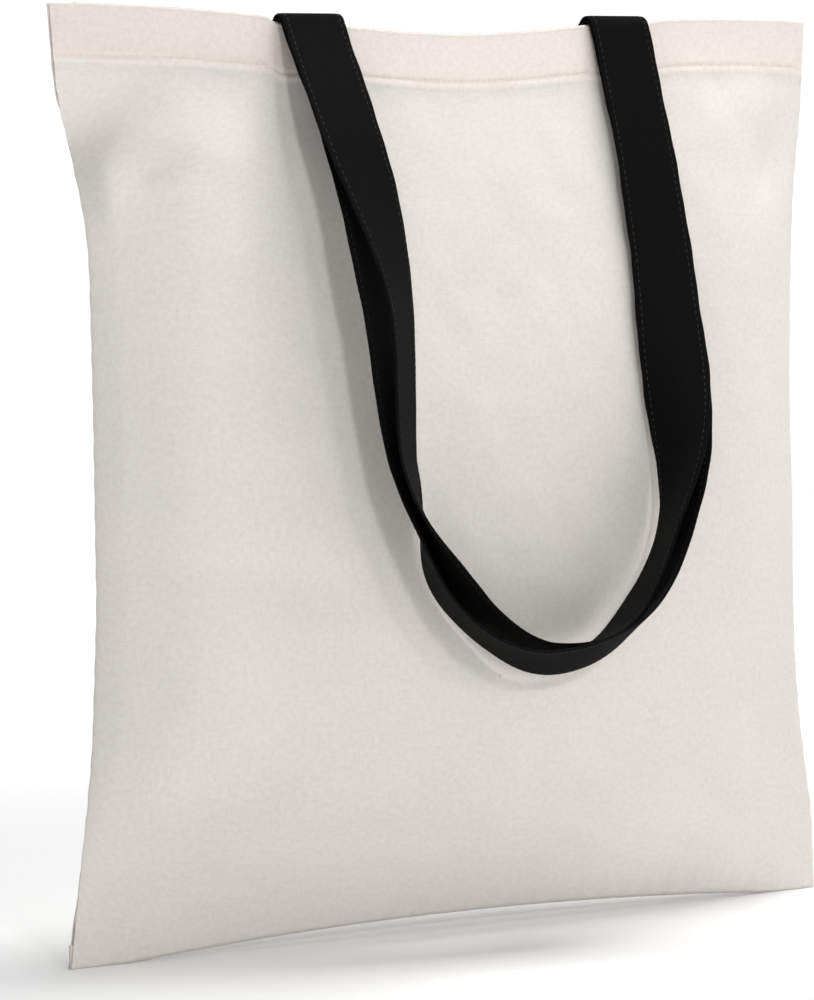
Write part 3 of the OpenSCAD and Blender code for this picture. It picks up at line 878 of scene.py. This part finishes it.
# ---------------------------------------------------------------- camera
def make_camera():
    yaw, pitch, roll = math.radians(28.71), -0.0523, math.radians(-1.02)
    ca, sa, cp, sp = math.cos(yaw), math.sin(yaw), math.cos(pitch), math.sin(pitch)
    fwd = Vector((sa * cp, ca * cp, sp))
    rt = Vector((ca, -sa, 0))
    up = rt.cross(fwd)
    r2 = rt * math.cos(roll) + up * math.sin(roll)
    u2 = -rt * math.sin(roll) + up * math.cos(roll)
    cam = bpy.data.cameras.new("camera")
    ob = bpy.data.objects.new("camera", cam)
    bpy.context.scene.collection.objects.link(ob)
    cam.sensor_fit = "AUTO"
    cam.sensor_width = 36
    cam.lens = 131.472
    cam.clip_start = 0.05
    cam.clip_end = 50
    m = Matrix((r2, u2, -fwd)).transposed().to_4x4()
    m.translation = Vector((-0.798, -1.413 + MID, 0.276))
    ob.matrix_world = m
    bpy.context.scene.camera = ob

make_camera()

# ---------------------------------------------------------------- floor, backdrop and light
NEAR_GLOW, FAR_GLOW = 0.07, 0.50      # the floor's own light near the bag and far from it
GLOW_FROM, GLOW_TO = 0.30, 1.2        # distances between which it grows, in metres

def stage_mat(name, col, emit):
    m, nt, b = mat(name)
    b.inputs["Base Color"].default_value = (*col, 1)
    b.inputs["Roughness"].default_value = 0.9
    b.inputs["Specular IOR Level"].default_value = 0.1
    b.inputs["Emission Color"].default_value = (1, 1, 1, 1)
    b.inputs["Emission Strength"].default_value = emit
    return m, nt, b

floor = new_mesh("floor", [(-8, -8, 0), (8, -8, 0), (8, 8, 0), (-8, 8, 0)], [(0, 1, 2, 3)],
                 smooth=False)
floor.location.z = -0.0002

def floor_mat():
    """White sweep: plain near the bag, glowing softly further off."""
    m, nt, b = stage_mat("floor_white", (0.90, 0.90, 0.90), NEAR_GLOW)
    k = N(nt)
    far = k.add("ShaderNodeVectorMath", operation="LENGTH")
    k.link(k.add("ShaderNodeTexCoord").outputs["Object"], far.inputs[0])
    r = k.add("ShaderNodeMapRange")
    r.interpolation_type = "SMOOTHSTEP"
    k.link(far.outputs["Value"], r.inputs["Value"])
    r.inputs["From Min"].default_value = GLOW_FROM
    r.inputs["From Max"].default_value = GLOW_TO
    r.inputs["To Min"].default_value = NEAR_GLOW
    r.inputs["To Max"].default_value = FAR_GLOW
    k.link(r.outputs[0], b.inputs["Emission Strength"])
    return m

floor.data.materials.append(floor_mat())

def make_world():
    """Soft sky, brightest in front of the bag, to its right and above."""
    w = bpy.data.worlds.new("studio")
    bpy.context.scene.world = w
    w.use_nodes = True
    k = N(w.node_tree)
    bg = w.node_tree.nodes["Background"]
    way_out = k.add("ShaderNodeTexCoord").outputs["Generated"]
    facing = k.add("ShaderNodeVectorMath", operation="DOT_PRODUCT")
    k.link(way_out, facing.inputs[0])
    facing.inputs[1].default_value = (0.42, -0.76, 0.46)
    share = k.math("MULTIPLY_ADD", facing.outputs["Value"], 0.5, 0.5)
    sky = k.ramp(share, [(0.36, (0.20, 0.202, 0.204)), (0.82, (1.0, 1.0, 1.0))])
    k.link(sky, bg.inputs["Color"])
    bg.inputs["Strength"].default_value = 0.36

make_world()
back_wall = new_mesh("backdrop", [(-6, 7.5, -0.5), (9, 4.2, -0.5), (9, 4.2, 5), (-6, 7.5, 5)],
                     [(0, 1, 2, 3)], smooth=False)
back_wall.data.materials.append(stage_mat("backdrop_white", (0.0, 0.0, 0.0), 1.05)[0])

def area(name, loc, aim, size, power, col=(1, 1, 1)):
    light = bpy.data.lights.new(name, "AREA")
    light.energy = power
    light.size = size
    light.color = col
    ob = bpy.data.objects.new(name, light)
    bpy.context.scene.collection.objects.link(ob)
    ob.location = loc
    ob.rotation_euler = (Vector(aim) - Vector(loc)).to_track_quat("-Z", "Y").to_euler()

area("key", (-0.50, -2.74, 1.24), aim=(0, -0.02, 0.22), size=0.24, power=15.5, col=(1.0, 1.0, 0.99))
area("side", (0.42, -2.75, 1.32), aim=(0, -0.02, 0.22), size=0.22, power=5.8, col=(1.0, 0.985, 0.96))
area("broad", (0.75, -2.50, 1.10), aim=(0, -0.02, 0.20), size=1.3, power=2.0)
area("top", (0.50, -0.05, 2.4), aim=(0, 0, 0), size=0.9, power=38)

bpy.context.scene.view_settings.view_transform = "Standard"
bpy.context.scene.view_settings.look = "None"
